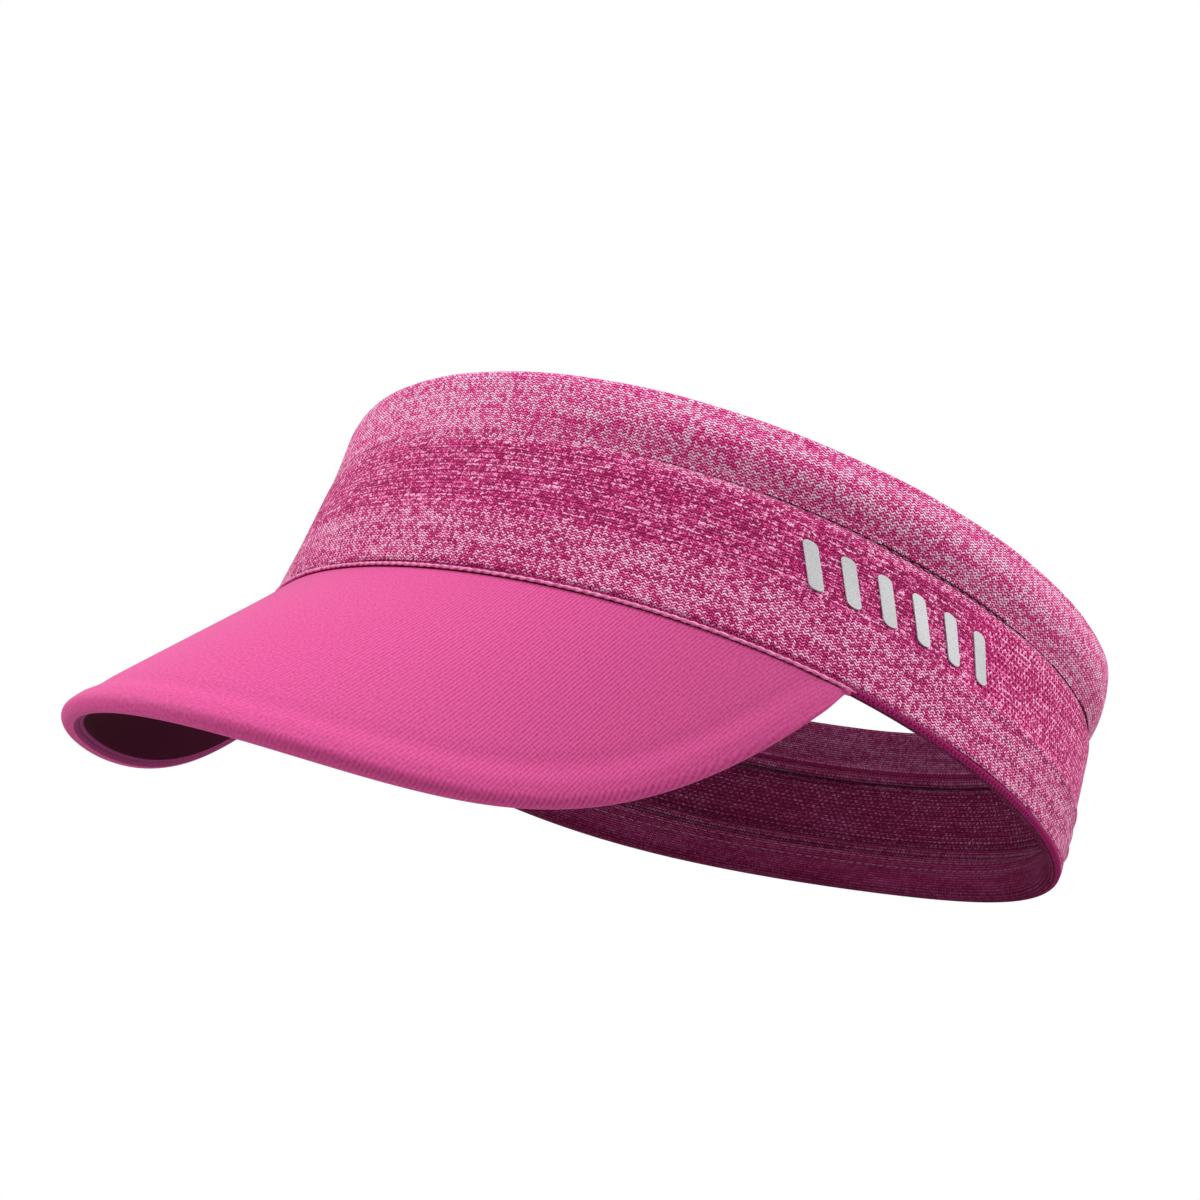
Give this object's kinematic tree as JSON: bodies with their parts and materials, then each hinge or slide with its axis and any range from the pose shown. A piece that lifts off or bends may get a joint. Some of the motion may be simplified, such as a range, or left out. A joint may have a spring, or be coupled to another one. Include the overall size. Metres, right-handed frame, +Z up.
{
  "type": "sun visor",
  "caption": "Open-top sports sun visor: stretch-knit headband with a raised elastic welt and a curved cloth-covered peak sewn to its lower front edge.",
  "frame": {"origin": "centre of the head opening, at the height of the band's lower rim", "axes": "+Z up along the band's axis, -Y the way the wearer faces and the peak points, +X the wearer's left"},
  "size_m": [0.1808, 0.2382, 0.0986],
  "materials": {
    "heather_knit": "polyester stretch knit, heather yarns, matte",
    "dark_knit": "inner face of the knit, darker, matte",
    "elastic": "woven rubber elastic",
    "under_cloth": "plain weave lining, matte",
    "terry": "soft absorbent terry",
    "tape": "narrow woven tape",
    "peak_cloth": "fine twill, smooth, slight sheen",
    "board": "flexible polyethylene sheet",
    "piping": "rolled knit piping",
    "thread": "polyester sewing thread",
    "reflective_film": "heat-pressed grey reflective film"
  },
  "bodies": {
    "root": {"band_body": "heather_knit", "top_welt": "heather_knit", "bottom_hem": "dark_knit", "welt_elastic": "elastic", "hem_elastic": "elastic", "peak_seam_margin": "under_cloth", "forehead_sweatband": "terry", "sweatband_lower_tape": "tape", "sweatband_upper_tape": "tape", "peak_top_cover": "peak_cloth", "peak_under_cover": "under_cloth", "peak_board": "board", "peak_root_piping": "piping", "welt_seam_thread": "thread", "hem_seam_thread": "thread", "peak_edge_thread": "thread", "reflective_mark_1": "reflective_film", "reflective_mark_2": "reflective_film", "reflective_mark_3": "reflective_film", "reflective_mark_4": "reflective_film", "reflective_mark_5": "reflective_film", "reflective_mark_6": "reflective_film"}
  },
  "joints": []
}
